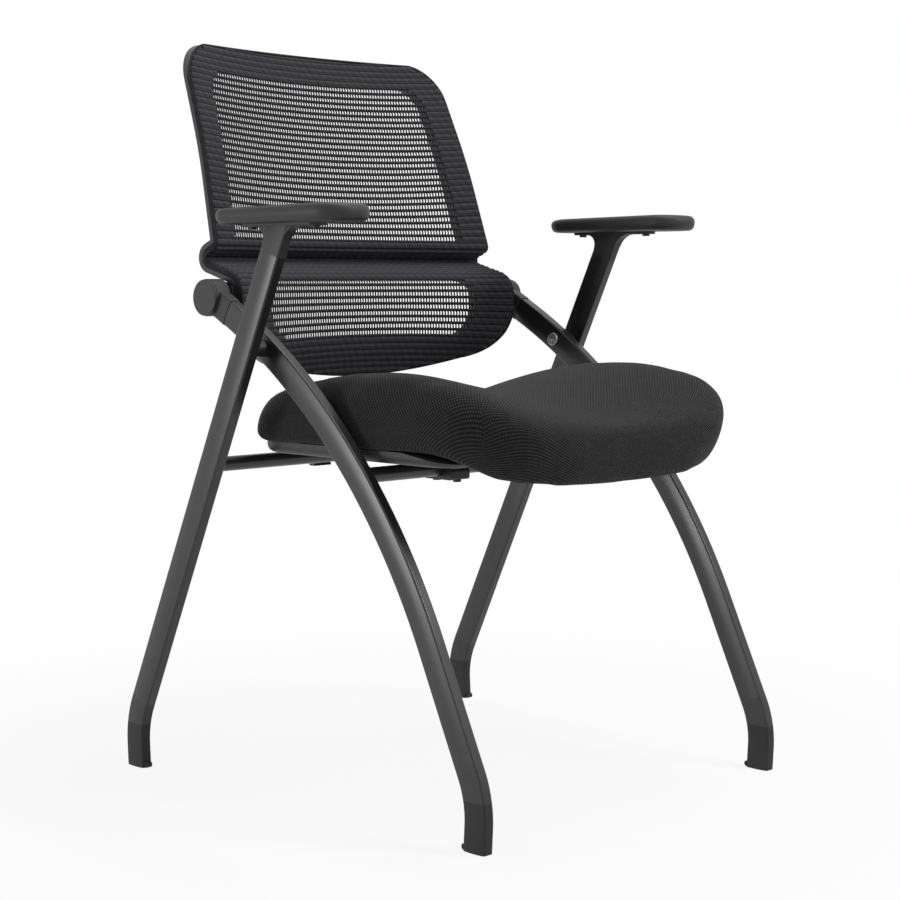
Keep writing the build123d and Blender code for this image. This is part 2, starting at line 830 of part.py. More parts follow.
# Cushion
front_cuts = (first_cut, 8, 18, 34, 58, seat_front_corner, droop_start - seat_front)
rear_cuts = (seat_rear_corner, 42, 26, 14, 7, first_cut)
cushion_ys = [seat_front + cut for cut in front_cuts]
cushion_ys += [seat_crest_y, (seat_crest_y + seat_rear - seat_rear_corner) / 2]
cushion_ys += [seat_rear - cut for cut in rear_cuts]
with BuildPart() as seat_cushion:
    for y in cushion_ys:
        with BuildSketch(Plane.XZ.offset(-y)):
            add(cushion_section(y))
    loft(ruled=True)
save(seat_cushion, "seat_cushion")


def under_outline(half, front, rear, front_corner, rear_corner):
    """The outline of a tray or board under the cushion."""
    with BuildSketch() as outline:
        with BuildLine():
            FilletPolyline(
                (half, front),
                (half, rear),
                (-half, rear),
                (-half, front),
                radius=[front_corner, rear_corner, rear_corner, front_corner],
                close=True,
            )
        make_face()
    return outline.sketch


# Pan and board
floor_top = pan_bottom + pan_floor
pocket_half = pan_half - pan_wall
pocket_rear = pan_rear - pan_wall
pan_corner = seat_rear_corner - pan_inset
pocket_corner = pan_corner - pan_wall
seat_screw_points = [(sign * hook_x, y) for sign in (-1, 1) for y in hook_screw_ys]
clamp_screw_points = [(sign * clamp_x, y) for sign in (-1, 1) for y in clamp_screw_ys]
with BuildPart() as seat_pan:
    with BuildSketch(Plane.XY.offset(pan_bottom)):
        add(under_outline(pan_half, pan_front, pan_rear, pan_front_corner, pan_corner))
    extrude(amount=pan_top - pan_bottom)
    fillet(seat_pan.edges().group_by(Axis.Z)[0], pan_edge)
    with BuildSketch(Plane.YZ):
        Polygon(
            (board_front, pan_top),
            (pan_front - cut_over, pan_bottom + pan_nose),
            (pan_front - cut_over, pan_top + cut_over),
            (board_front, pan_top + cut_over),
            align=None,
        )
    extrude(amount=seat_half_width, both=True, mode=Mode.SUBTRACT)
    with BuildSketch(Plane.XY.offset(floor_top)):
        add(under_outline(pocket_half, board_front, pocket_rear, pan_wall, pocket_corner))
    extrude(amount=pan_top, mode=Mode.SUBTRACT)
    for x, y in seat_screw_points + clamp_screw_points:
        add(
            upright_pin(x, y, pan_bottom - cut_over, floor_top + cut_over, screw_radius + fit_gap),
            mode=Mode.SUBTRACT,
        )
save(seat_pan, "seat_pan")

with BuildPart() as seat_board:
    with BuildSketch(Plane.XY.offset(floor_top)):
        add(
            under_outline(
                pocket_half - board_gap,
                board_front + board_gap,
                pocket_rear - board_gap,
                pan_wall,
                pocket_corner,
            )
        )
    extrude(amount=pan_top - board_gap - floor_top)
    for x, y in seat_screw_points + clamp_screw_points:
        add(upright_pin(x, y, floor_top, screw_top, screw_radius + fit_gap), mode=Mode.SUBTRACT)
save(seat_board, "seat_board")

# Clamps round the front bar
for side, sign in SIDES:
    with BuildPart() as front_clamp:
        with BuildSketch(Plane.YZ.offset(sign * clamp_x)):
            with Locations((front_bar_y, (bar_height + pan_bottom) / 2)):
                Rectangle(2 * clamp_half_depth, pan_bottom - bar_height)
            with Locations((front_bar_y, bar_height)):
                Circle(bar_radius + run_gap, mode=Mode.SUBTRACT)
        extrude(amount=clamp_width / 2, both=True)
        for y in clamp_screw_ys:
            add(
                upright_pin(sign * clamp_x, y, bar_height, pan_bottom, screw_radius + fit_gap),
                mode=Mode.SUBTRACT,
            )
    save(front_clamp, f"front_clamp_{side}")

    with BuildPart() as clamp_strap:
        with BuildSketch(Plane.YZ.offset(sign * clamp_x)) as strap_side:
            with Locations((front_bar_y, bar_height - clamp_drop / 2)):
                Rectangle(2 * clamp_half_depth, clamp_drop)
            fillet(strap_side.vertices().group_by(Axis.Z)[0], clamp_round)
            with Locations((front_bar_y, bar_height)):
                Circle(bar_radius + run_gap, mode=Mode.SUBTRACT)
        extrude(amount=clamp_width / 2, both=True)
        for y in clamp_screw_ys:
            add(
                upright_pin(
                    sign * clamp_x, y, bar_height - clamp_drop, bar_height, screw_radius + fit_gap
                ),
                mode=Mode.SUBTRACT,
            )
    save(clamp_strap, f"clamp_strap_{side}")

# Hooks over the rear bar, open along the line on which the bar leaves them
plate_low = pan_bottom - hook_plate
leave_y = -sin(radians(hook_angle))
leave_z = -cos(radians(hook_angle))
hook_hole = bar_radius + hook_clear
for side, sign in SIDES:
    with BuildPart() as rear_hook:
        with BuildSketch(Plane.YZ.offset(sign * hook_x)):
            with Locations((rear_bar_y + (hook_back - hook_reach) / 2, pan_bottom - hook_plate / 2)):
                Rectangle(hook_back + hook_reach, hook_plate)
            with Locations((rear_bar_y + hook_back / 2, (plate_low + bar_height - hook_drop) / 2)):
                Rectangle(hook_back, plate_low - bar_height + hook_drop)
            with Locations((rear_bar_y, bar_height)):
                Circle(hook_hole, mode=Mode.SUBTRACT)
            slot_middle = (rear_bar_y + leave_y * hook_back, bar_height + leave_z * hook_back)
            with Locations(Location(slot_middle, -hook_angle)):
                Rectangle(2 * hook_hole, 2 * hook_back, mode=Mode.SUBTRACT)
        extrude(amount=hook_width / 2, both=True)
        for y in hook_screw_ys:
            add(
                upright_pin(sign * hook_x, y, plate_low, pan_bottom, screw_radius + fit_gap),
                mode=Mode.SUBTRACT,
            )
    save(rear_hook, f"rear_hook_{side}")

with BuildPart() as seat_screws:
    for points, seat_z in ((seat_screw_points, plate_low), (clamp_screw_points, bar_height - clamp_drop)):
        for x, y in points:
            add(upright_pin(x, y, seat_z - screw_head_height, seat_z, screw_head_radius))
            add(upright_pin(x, y, seat_z, screw_top, screw_radius))
save(seat_screws, "seat_screws")
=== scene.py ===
"""Looks of the folding visitor chair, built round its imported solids.

Metres in the scene, millimetres in the sizes below. X is across the chair, Y points to its rear, Z is up.
"""

import json
from math import atan2, ceil, cos, hypot, pi, radians, sin, sqrt

import bpy
import numpy as np
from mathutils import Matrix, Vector

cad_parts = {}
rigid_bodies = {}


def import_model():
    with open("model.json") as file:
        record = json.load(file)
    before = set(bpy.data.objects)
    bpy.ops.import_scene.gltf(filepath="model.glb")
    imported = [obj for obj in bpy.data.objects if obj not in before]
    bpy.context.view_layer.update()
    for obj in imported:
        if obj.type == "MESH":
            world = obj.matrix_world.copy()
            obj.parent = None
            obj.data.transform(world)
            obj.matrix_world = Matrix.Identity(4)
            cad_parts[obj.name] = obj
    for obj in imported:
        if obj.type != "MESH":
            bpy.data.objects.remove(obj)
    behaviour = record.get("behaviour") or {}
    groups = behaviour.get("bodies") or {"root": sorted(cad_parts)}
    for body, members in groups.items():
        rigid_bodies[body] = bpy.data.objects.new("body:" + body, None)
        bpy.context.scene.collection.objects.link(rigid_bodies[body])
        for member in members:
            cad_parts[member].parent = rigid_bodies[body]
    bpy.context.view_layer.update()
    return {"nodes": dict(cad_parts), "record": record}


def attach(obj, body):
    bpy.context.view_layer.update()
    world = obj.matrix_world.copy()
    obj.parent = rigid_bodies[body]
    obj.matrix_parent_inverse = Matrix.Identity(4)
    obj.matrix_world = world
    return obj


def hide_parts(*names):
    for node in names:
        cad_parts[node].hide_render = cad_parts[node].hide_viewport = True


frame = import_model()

MM = 0.001
scene = bpy.context.scene
scene.view_settings.view_transform = "Standard"

for left_over in [o for o in bpy.data.objects if o.name in ("Cube", "Light", "Camera")]:
    bpy.data.objects.remove(left_over)

# Sizes shared with the solids, in millimetres
seat_half_width = 229.5
seat_front = -277.0
seat_rear = 130.0
seat_front_corner = 88.0
seat_rear_corner = 65.0
seat_seam = 402.0
seat_crest = 485.0
seat_crest_y = -100.0
seat_fall_front = 0.0013
seat_fall_rear = 0.0008
droop_start = -135.0
seat_droop = 19.0
droop_run = 100.0
droop_power = 3
lip_sag = 8.0
lip_rise = 36.0
nose_rise = 74.0
nose_height = 420.0
tail_rise = 46.0
tail_height = 424.0
shoulder_inset = 12.0
shoulder_rise = 0.82
bulge_rise = 0.42
crest_inset = 34.0

back_line = [(282, 871), (233, 738), (205, 624), (236.5, 610), (165, 589), (159, 503), (180, 462)]
back_rounds = [700, 9, 5, 26, 60]
fold = 3
bow_radius = 500.0
net_thickness = 1.6
back_top = 869.0
back_top_half = 209.0
back_top_corner = 50.0
back_waist = 620.0
back_half_width = 228.0
back_side_bottom = 545.0
back_corner = (199.0, 501.0)
back_bottom_half = 157.0
back_bottom_rise = 484.0
back_bottom = 465.0
upper_rail_width = 36.0
lumbar_rail_width = 55.0
window_top_corner = 30.0
lumbar_top_corner = 20.0
lumbar_low_corner = 40.0
window_top = 836.0
waist_top = 632.0
waist_bottom = 588.0
window_bottom = 513.0

arm_x = 275.8
arm_y = -19.6
arm_length = 213.0
arm_width = 72.0
arm_bottom = 646.0
arm_thickness = 20.4

# Sizes of what is only in the looks, in millimetres
row_pitch = 8.0         # from one rib of the net to the next
upper_row_rise = 9.0
lumbar_row_fall = 12.0
rib_radius = 2.0
strand_pitch = 4.3
strand_radius = 1.05
strand_arch = 0.9       # how far a strand bows forward between its ribs
roll_depth = 1.2        # half the depth of a padded row over the rails
row_taper = 0.6         # how far a row thins at the side
row_reach = 3.0         # half the height that a row needs inside the back's outline
row_end_gap = 0.6       # from a row's end to the back's edge
row_end_run = 3.0       # the length over which it thins there
row_step = 6.0          # between the points of a row
row_search_step = 0.5
shortest_half_row = 12.0
line_round_step = 3.0   # between the points of a rounded corner of the back's line
level_row_height = 580.0  # the rows are level from here up to the waist
risen_row_height = 680.0
rib_overlap = 0.4       # how much of a rib's radius the padded rows cover
yarn_sides = 5
roll_sides = 8
binding_and_shade_yarns = 3       # round the nets' edges, one behind the other: a dark band that closes the edge and covers the rows' ends, and is painted shade where the net turns round the edge
binding_and_shade_radius = 1.6
binding_and_shade_step = 2.3
binding_and_shade_depth = 0.7     # from the net's middle back to the first of them
binding_and_shade_inset = 0.8     # from the back's edge in to their middles
low_corner_lift = 0.6   # and up from it in the bottom corners
side_edge_step = 4.0    # between the points of the edge band, at the sides, top and bottom
top_edge_step = 10.0
bottom_edge_step = 8.0
seat_dish = 28.0        # the dish is softer and a little deeper in the cover than in the solid
dish_power = 0.6        # how steeply the dish leaves the bolsters
pad_corner = 33.0       # the round of an arm pad's outline
pad_peak = -30.0        # where the pad is thickest, from its middle
pad_rear_fall = 2.6
pad_front_fall = 2.5
pad_sole_height = 6.0   # up to here the pad doesn't fall
floor_half = 6000.0
section_bottom_steps = 40  # points along each stretch of the cushion's outline
section_side_steps = 14
section_round_steps = 12
section_top_steps = 60
cushion_voxel = 5.0
nose_tuck = 23.0        # how far the front corners' undersides draw in
nose_tuck_top = 450.0
nose_tuck_run = 60.0    # over how much height they do
nose_corner_x = (90.0, 215.0)  # where a front corner begins, and where it is full
nose_corner_y = (-130.0, -265.0)
tail_fill = 7.0         # how far the rear corners stand out
tail_corner_x = (110.0, 220.0)
tail_corner_y = (0.0, 115.0)
rim_press = 3.0         # how far the lower edge comes out to the pan's rim
rim_press_top = 424.0
rim_press_x = (120.0, 205.0)
rim_press_y = (60.0, 115.0)
rim_drop = 4.0          # how far the cover hangs over the outside of the pan
rim_drop_x = (222.0, 226.0)
rim_drop_y = (121.0, 125.0)
pan_front_ease = 30.0   # the cover leaves the pan this gently at the front
cloth_flat_side = 60.0  # from each edge in to where the cloth lies flat on the top
cloth_flat_front = 75.0
cloth_flat_rear = 50.0
cloth_turn_height = 430.0
stuffing_steps = 20     # of the cloth solver
cushion_cap = 1.2       # the most that the stuffing may push a point of the cover
cloth_dot_across = 2.4  # half the spacing of the knots, about 1 mm in truth, drawn coarser so that they show
cloth_dot_along = 2.1


def linear(hex_colour):
    """An sRGB hex colour as linear RGBA."""
    values = [int(hex_colour[i : i + 2], 16) / 255 for i in (1, 3, 5)]
    return tuple(v / 12.92 if v <= 0.04045 else ((v + 0.055) / 1.055) ** 2.4 for v in values) + (1.0,)


def node(tree, kind, inputs=None, **settings):
    """Add a node, give it its settings, and fill or link its inputs."""
    made = tree.nodes.new(kind)
    for name, value in settings.items():
        setattr(made, name, value)
    for key, value in (inputs or {}).items():
        if isinstance(value, bpy.types.NodeSocket):
            tree.links.new(value, made.inputs[key])
        else:
            made.inputs[key].default_value = value
    return made


def new_material(name):
    """An empty node material and its tree."""
    material = bpy.data.materials.new(name)
    material.use_nodes = True
    material.node_tree.nodes.clear()
    return material, material.node_tree


def finish_material(tree, shader):
    """Send a shader to the material's surface."""
    node(tree, "ShaderNodeOutputMaterial", {"Surface": shader.outputs[0]})


def grained(name, dark, light, roughness, grain, grain_depth, speck=40.0, gloss=0.35):
    """A moulded or painted skin: a fine grain in relief, and a slow drift in tone and gloss."""
    material, tree = new_material(name)
    place = node(tree, "ShaderNodeTexCoord").outputs["Object"]
    drift = node(tree, "ShaderNodeTexNoise", {"Vector": place, "Scale": 1 / (speck * MM), "Detail": 3.0})
    colour = node(tree, "ShaderNodeValToRGB", {"Fac": drift.outputs["Fac"]})
    colour.color_ramp.elements[0].position = 0.3
    colour.color_ramp.elements[0].color = linear(dark)
    colour.color_ramp.elements[1].position = 0.7
    colour.color_ramp.elements[1].color = linear(light)
    rough = node(
        tree,
        "ShaderNodeMapRange",
        {"Value": drift.outputs["Fac"], "To Min": roughness - 0.05, "To Max": roughness + 0.05},
    )
    pores = node(tree, "ShaderNodeTexNoise", {"Vector": place, "Scale": 1 / (grain * MM), "Detail": 4.0})
    relief = node(
        tree,
        "ShaderNodeBump",
        {"Height": pores.outputs["Fac"], "Strength": 0.6, "Distance": grain_depth * MM},
    )
    shader = node(
        tree,
        "ShaderNodeBsdfPrincipled",
        {
            "Base Color": colour.outputs["Color"],
            "Roughness": rough.outputs["Result"],
            "Normal": relief.outputs["Normal"],
            "Specular IOR Level": gloss,
        },
    )
    finish_material(tree, shader)
    return material


# Powder-coated steel tube: baked-on paint, satin, with a faint orange peel
tube_paint = grained("Steel tube, powder coated satin", "#212122", "#29292a", 0.3, 2.2, 0.03, 120, 0.5)
# Polypropylene, injection moulded in a fine spark-eroded mould: a dry, even grain
fitting_plastic = grained("Polypropylene, moulded with fine grain", "#2f2f30", "#383839", 0.5, 0.9, 0.08)
# Polyurethane, moulded with its own skin: soft gloss and a leathery pore
arm_skin = grained("Polyurethane, self-skinned foam", "#29292a", "#313132", 0.52, 1.1, 0.1)
# Rubber, compression moulded: dull and slightly dusty
boot_rubber = grained("Rubber, compression moulded", "#252526", "#2d2d2e", 0.68, 1.0, 0.06)
# Nylon, moulded: darker and a little glossier than the polypropylene
clamp_nylon = grained("Nylon, moulded smooth", "#1f1f20", "#27272a", 0.42, 1.5, 0.03)
# Polypropylene pan, moulded with a coarser leather grain that hides scuffs
pan_plastic = grained("Polypropylene, moulded with leather grain", "#363637", "#414142", 0.5, 1.4, 0.12)
# Glass-filled nylon rails: a slightly violet charcoal, matt
rail_plastic = grained("Glass-filled nylon, moulded matt", "#343336", "#3d3c40", 0.45, 1.0, 0.06)
# Birch plywood, cut; hidden in the pan, and coloured dark as painted shade where it shows over the pan's
# wall, for the gap under the cover
board_dark_as_shade = grained("Birch plywood, dark as painted shade", "#262321", "#322d29", 0.7, 2.0, 0.1, speck=15)


def plated_steel():
    """Zinc plating over turned steel: bright, with fine rings from the lathe."""
    material, tree = new_material("Steel, turned and zinc plated")
    place = node(tree, "ShaderNodeTexCoord").outputs["Object"]
    drift = node(tree, "ShaderNodeTexNoise", {"Vector": place, "Scale": 1 / (6 * MM), "Detail": 4.0})
    colour = node(tree, "ShaderNodeValToRGB", {"Fac": drift.outputs["Fac"]})
    colour.color_ramp.elements[0].color = linear("#a9a9a6")
    colour.color_ramp.elements[1].color = linear("#c9cac8")
    gloss = node(tree, "ShaderNodeMapRange", {"Value": drift.outputs["Fac"], "To Min": 0.24, "To Max": 0.4})
    shader = node(
        tree,
        "ShaderNodeBsdfPrincipled",
        {"Base Color": colour.outputs["Color"], "Roughness": gloss.outputs["Result"], "Metallic": 1.0},
    )
    finish_material(tree, shader)
    return material


bright_zinc = plated_steel()
# Steel, blackened in a hot salt bath: nearly black with a dull oily gloss
black_steel = grained("Steel, black oxide", "#171717", "#1f1f1f", 0.42, 0.8, 0.02, 5.0)


def knitted_yarn(name, dark, light):
    """Polyester yarn, twisted and warp knitted: charcoal with a violet cast, furry at grazing angles."""
    material, tree = new_material(name)
    place = node(tree, "ShaderNodeTexCoord").outputs["Object"]
    turned = node(tree, "ShaderNodeMapping", {"Vector": place, "Rotation": (0.0, radians(35), 0.0)})
    # the twist of the yarn is 0.5 mm long in truth, drawn about 10 mm long so that it shows
    twist = node(
        tree,
        "ShaderNodeTexWave",
        {"Vector": turned.outputs["Vector"], "Scale": 1 / (20 * 1.6 * MM), "Distortion": 1.5, "Detail": 2.0},
    )
    colour = node(tree, "ShaderNodeValToRGB", {"Fac": twist.outputs["Fac"]})
    colour.color_ramp.elements[0].color = linear(dark)
    colour.color_ramp.elements[1].color = linear(light)
    relief = node(
        tree, "ShaderNodeBump", {"Height": twist.outputs["Fac"], "Strength": 0.3, "Distance": 0.15 * MM}
    )
    shader = node(
        tree,
        "ShaderNodeBsdfPrincipled",
        {
            "Base Color": colour.outputs["Color"],
            "Roughness": 0.75,
            "Normal": relief.outputs["Normal"],
            "Specular IOR Level": 0.12,
            "Sheen Weight": 0.1,
            "Sheen Roughness": 0.5,
        },
    )
    finish_material(tree, shader)
    return material


# Ribs and strands are twisted hard: round and smooth, and dark; the dark is partly painted shade, as the ribs
# stand for the shaded grooves between the padded rows, and the yarns round the edges for the shaded turn of
# the net
net_yarn_and_painted_shade = knitted_yarn("Polyester yarn, twisted and warp knitted", "#222125", "#2e2d31")
# The padded rows are bulked: paler, soft and full
net_pile = knitted_yarn("Polyester yarn, bulked and warp knitted", "#403f44", "#4b4a4f")


def spacer_cloth():
    """Polyester spacer cloth, warp knitted: staggered knots stand up from a dark ground."""
    material, tree = new_material("Polyester spacer cloth, warp knitted")
    laid = node(tree, "ShaderNodeUVMap", uv_map="cloth").outputs["UV"]
    place = node(tree, "ShaderNodeTexCoord").outputs["Object"]
    apart = node(tree, "ShaderNodeSeparateXYZ", {"Vector": laid})
    across = node(
        tree, "ShaderNodeMath", {0: apart.outputs["X"], 1: pi / (cloth_dot_across * MM)}, operation="MULTIPLY"
    )
    along = node(
        tree, "ShaderNodeMath", {0: apart.outputs["Y"], 1: pi / (cloth_dot_along * MM)}, operation="MULTIPLY"
    )
    across_wave = node(tree, "ShaderNodeMath", {0: across.outputs[0]}, operation="COSINE")
    along_wave = node(tree, "ShaderNodeMath", {0: along.outputs[0]}, operation="COSINE")
    knots = node(
        tree, "ShaderNodeMath", {0: across_wave.outputs[0], 1: along_wave.outputs[0]}, operation="MULTIPLY"
    )
    height = node(tree, "ShaderNodeMapRange", {"Value": knots.outputs[0], "From Min": -0.3, "From Max": 1.0})
    drift = node(tree, "ShaderNodeTexNoise", {"Vector": place, "Scale": 1 / (9 * MM), "Detail": 3.0})
    worn = node(
        tree, "ShaderNodeMath", {0: drift.outputs["Fac"], 1: 0.35, 2: -0.17}, operation="MULTIPLY_ADD"
    )
    tone = node(
        tree,
        "ShaderNodeMath",
        {0: height.outputs["Result"], 1: worn.outputs[0]},
        operation="ADD",
        use_clamp=True,
    )
    colour = node(tree, "ShaderNodeValToRGB", {"Fac": tone.outputs[0]})
    colour.color_ramp.elements[0].color = linear("#0e0e0f")
    colour.color_ramp.elements[1].color = linear("#474748")
    relief = node(
        tree, "ShaderNodeBump", {"Height": height.outputs["Result"], "Strength": 0.7, "Distance": 0.7 * MM}
    )
    shader = node(
        tree,
        "ShaderNodeBsdfPrincipled",
        {
            "Base Color": colour.outputs["Color"],
            "Roughness": 0.8,
            "Normal": relief.outputs["Normal"],
            "Specular IOR Level": 0.12,
            "Sheen Weight": 0.08,
            "Sheen Roughness": 0.45,
        },
    )
    finish_material(tree, shader)
    return material


seat_cloth = spacer_cloth()

skins = {
    "tube_paint": tube_paint,
    "fitting_plastic": fitting_plastic,
    "arm_skin": arm_skin,
    "rubber": boot_rubber,
    "steel": bright_zinc,
    "nylon": clamp_nylon,
    "pan_plastic": pan_plastic,
    "plywood": board_dark_as_shade,
    "seat_fabric": seat_cloth,
    "rail_plastic": rail_plastic,
    "net": net_yarn_and_painted_shade,
}
for row in frame["record"]["subparts"]:
    solid = frame["nodes"][row["node"]]
    if not solid.material_slots:
        solid.data.materials.append(None)
    for slot in solid.material_slots:
        slot.material = black_steel if "screws" in row["node"] else skins[row["material_slot"]]


def new_piece(name, points, faces, material):
    """A mesh object from points in millimetres."""
    mesh = bpy.data.meshes.new(name)
    mesh.from_pydata([tuple(v * MM for v in p) for p in points], [], faces)
    mesh.materials.append(material)
    piece = bpy.data.objects.new(name, mesh)
    scene.collection.objects.link(piece)
    return piece


def lofted(name, rings, material):
    """A closed piece through rings of as many points each."""
    size = len(rings[0])
    points = [p for ring in rings for p in ring]
    faces = [
        (r * size + i, r * size + (i + 1) % size, (r + 1) * size + (i + 1) % size, (r + 1) * size + i)
        for r in range(len(rings) - 1)
        for i in range(size)
    ]
    faces.append(tuple(reversed(range(size))))
    faces.append(tuple(range((len(rings) - 1) * size, len(rings) * size)))
    return new_piece(name, points, faces, material)


def settle(piece):
    """Turn a piece's modifiers into plain mesh."""
    seen = piece.evaluated_get(bpy.context.evaluated_depsgraph_get())
    mesh = bpy.data.meshes.new_from_object(seen)
    piece.modifiers.clear()
    piece.data = mesh
    return piece


def all_points(mesh):
    """A mesh's points, in metres, one to a row."""
    flat = np.empty(len(mesh.vertices) * 3, np.float32)
    mesh.vertices.foreach_get("co", flat)
    return flat.reshape(-1, 3).astype(float)


def move_points(mesh, points):
    """Put a mesh's points where the rows say."""
    mesh.vertices.foreach_set("co", points.astype(np.float32).ravel())
    mesh.update()


def smooth_shaded(piece):
    """Shade every face of a piece as part of a curve."""
    piece.data.polygons.foreach_set("use_smooth", [True] * len(piece.data.polygons))
    return piece


def circle_through(a, b, c):
    """The middle and radius of the circle through three points, or nothing where they lie in line."""
    d = 2 * (a[0] * (b[1] - c[1]) + b[0] * (c[1] - a[1]) + c[0] * (a[1] - b[1]))
    if abs(d) < 1e-3:
        return None
    squares = [p[0] ** 2 + p[1] ** 2 for p in (a, b, c)]
    x = (squares[0] * (b[1] - c[1]) + squares[1] * (c[1] - a[1]) + squares[2] * (a[1] - b[1])) / d
    z = (squares[0] * (c[0] - b[0]) + squares[1] * (a[0] - c[0]) + squares[2] * (b[0] - a[0])) / d
    return x, z, hypot(a[0] - x, a[1] - z)


# Cushion
def arc_points(start, middle, end, count):
    """Points along the circle through three points, without the last."""
    (ax, ay), (bx, by), (cx, cy) = start, middle, end
    circle = circle_through(start, middle, end)
    if circle is None:
        return [(ax + (cx - ax) * i / count, ay + (cy - ay) * i / count) for i in range(count)]
    ux, uy, radius = circle
    first = atan2(ay - uy, ax - ux)
    turn = (atan2(cy - uy, cx - ux) - first) % (2 * pi)
    through = (atan2(by - uy, bx - ux) - first) % (2 * pi)
    if through > turn:
        turn -= 2 * pi
    return [
        (ux + radius * cos(first + turn * i / count), uy + radius * sin(first + turn * i / count))
        for i in range(count)
    ]


def corner_loss(distance, radius):
    """How much width a rounded corner takes away at a distance from the end."""
    if distance >= radius:
        return 0.0
    return radius - sqrt(max(0.0, radius**2 - (radius - distance) ** 2))


def end_share(distance, run):
    """How full the cushion is at a distance from its end, as a share."""
    if distance >= run:
        return 1.0
    return sqrt(max(0.0, 1 - (1 - distance / run) ** 2))


def cushion_section(y):
    """The cushion's outline square across the chair at y, as points round it."""
    from_front = y - seat_front
    from_rear = seat_rear - y
    half = seat_half_width - corner_loss(from_front, seat_front_corner)
    half -= corner_loss(from_rear, seat_rear_corner)
    fall = seat_fall_front if y < seat_crest_y else seat_fall_rear
    crest = seat_crest - fall * (y - seat_crest_y) ** 2
    dropped = (max(0.0, droop_start - y) / droop_run) ** droop_power
    share = end_share(from_front, nose_rise) * end_share(from_rear, tail_rise)
    low_share = end_share(from_front, lip_rise) * end_share(from_rear, tail_rise)
    middle = nose_height if y < seat_crest_y else tail_height
    top = middle + (crest - middle) * share
    bottom = middle - (middle - seat_seam + seat_droop * dropped) * low_share
    height = top - bottom
    dish = seat_dish * share**2
    low = (half, bottom)
    bulge = (half, bottom + bulge_rise * height)
    shoulder = (half - shoulder_inset * share, bottom + shoulder_rise * height)
    crest_x = half - crest_inset
    sag = (0, bottom - lip_sag * dropped * low_share)
    points = arc_points((-low[0], bottom), sag, low, section_bottom_steps)
    points += arc_points(low, bulge, shoulder, section_side_steps)
    rounded = []
    for i in range(section_round_steps):
        turn = i * pi / (2 * section_round_steps)
        x = crest_x + (shoulder[0] - crest_x) * cos(turn)
        rounded.append((x, shoulder[1] + (top - shoulder[1]) * sin(turn)))
    points += rounded
    for i in range(section_top_steps + 1):
        x = crest_x * (1 - 2 * i / section_top_steps)
        points.append((x, top - dish * ((1 + cos(pi * x / crest_x)) / 2) ** dish_power))
    points += [(-x, z) for x, z in reversed(rounded[1:])]
    left_side = [(-x, z) for x, z in (shoulder, bulge, low)]
    points += arc_points(*left_side, section_side_steps)
    return [(x, y, z) for x, z in points]


def cushion_rows():
    """Where the sections lie: close together at the rounded ends."""
    count = 72
    span = seat_rear - seat_front
    return [seat_front + span * (1 - cos(pi * i / count)) / 2 for i in range(count + 1)]


def stuff(piece, cap):
    """Blow the cover up from inside with the cloth solver, and keep each point near where it began."""
    before = all_points(piece.data)
    cloth = piece.modifiers.new("Stuffing", "CLOTH")
    cloth.settings.quality = 5
    cloth.settings.use_pressure = True
    cloth.settings.uniform_pressure_force = 4.0
    cloth.settings.effector_weights.gravity = 0.0
    for step in range(1, stuffing_steps + 1):
        scene.frame_set(step)
    settle(piece)
    scene.frame_set(1)
    move = all_points(piece.data) - before
    length = np.linalg.norm(move, axis=1)
    move *= np.minimum(1.0, cap * MM / np.maximum(length, 1e-9))[:, None]
    move_points(piece.data, before + move)


def lay_cloth(mesh):
    """A UV map in metres: flat over the top, and down over each side by the length of the cover."""
    points = all_points(mesh) / MM
    flat_half = seat_half_width - cloth_flat_side
    near_x = np.clip(points[:, 0], -flat_half, flat_half)
    near_y = np.clip(points[:, 1], seat_front + cloth_flat_front, seat_rear - cloth_flat_rear)
    out_x = points[:, 0] - near_x
    out_y = points[:, 1] - near_y
    over = points[:, 2] - cloth_turn_height
    arc_x = np.hypot(out_x, over) * np.arctan2(np.abs(out_x), over) * np.sign(out_x)
    arc_y = np.hypot(out_y, over) * np.arctan2(np.abs(out_y), over) * np.sign(out_y)
    on_side = np.stack([near_x + arc_x, points[:, 1]], 1) * MM
    on_end = np.stack([points[:, 0], near_y + arc_y], 1) * MM
    corners = np.empty(len(mesh.loops), np.int32)
    mesh.loops.foreach_get("vertex_index", corners)
    # every face is a quad, and the cloth is mitred where a side meets the front or the rear
    sideways = (np.abs(out_x) - np.abs(out_y))[corners].reshape(-1, 4).mean(1).repeat(4) > 0
    flat = np.where(sideways[:, None], on_side[corners], on_end[corners])
    layer = mesh.uv_layers.new(name="cloth")
    layer.data.foreach_set("uv", flat.astype(np.float32).ravel())


def ramp(value, start, full):
    """0 up to the start, 1 where it is full, and eased between."""
    share = np.clip((value - start) / (full - start), 0.0, 1.0)
    return share * share * (3 - 2 * share)


def pull_corners(mesh):
    """Draw the front corners in underneath, and fill the rear ones out."""
    points = all_points(mesh) / MM
    x, y, z = points.T
    front = ramp(np.abs(x), *nose_corner_x) * ramp(y, *nose_corner_y)
    under = np.clip((nose_tuck_top - z) / nose_tuck_run, 0.0, 1.2) ** 1.5
    rear = ramp(np.abs(x), *tail_corner_x) * ramp(y, *tail_corner_y)
    move = (tail_fill * rear - nose_tuck * front * under) / sqrt(2)
    points[:, 0] += move * np.sign(x)
    points[:, 1] += move * np.sign(y)
    move_points(mesh, points * MM)


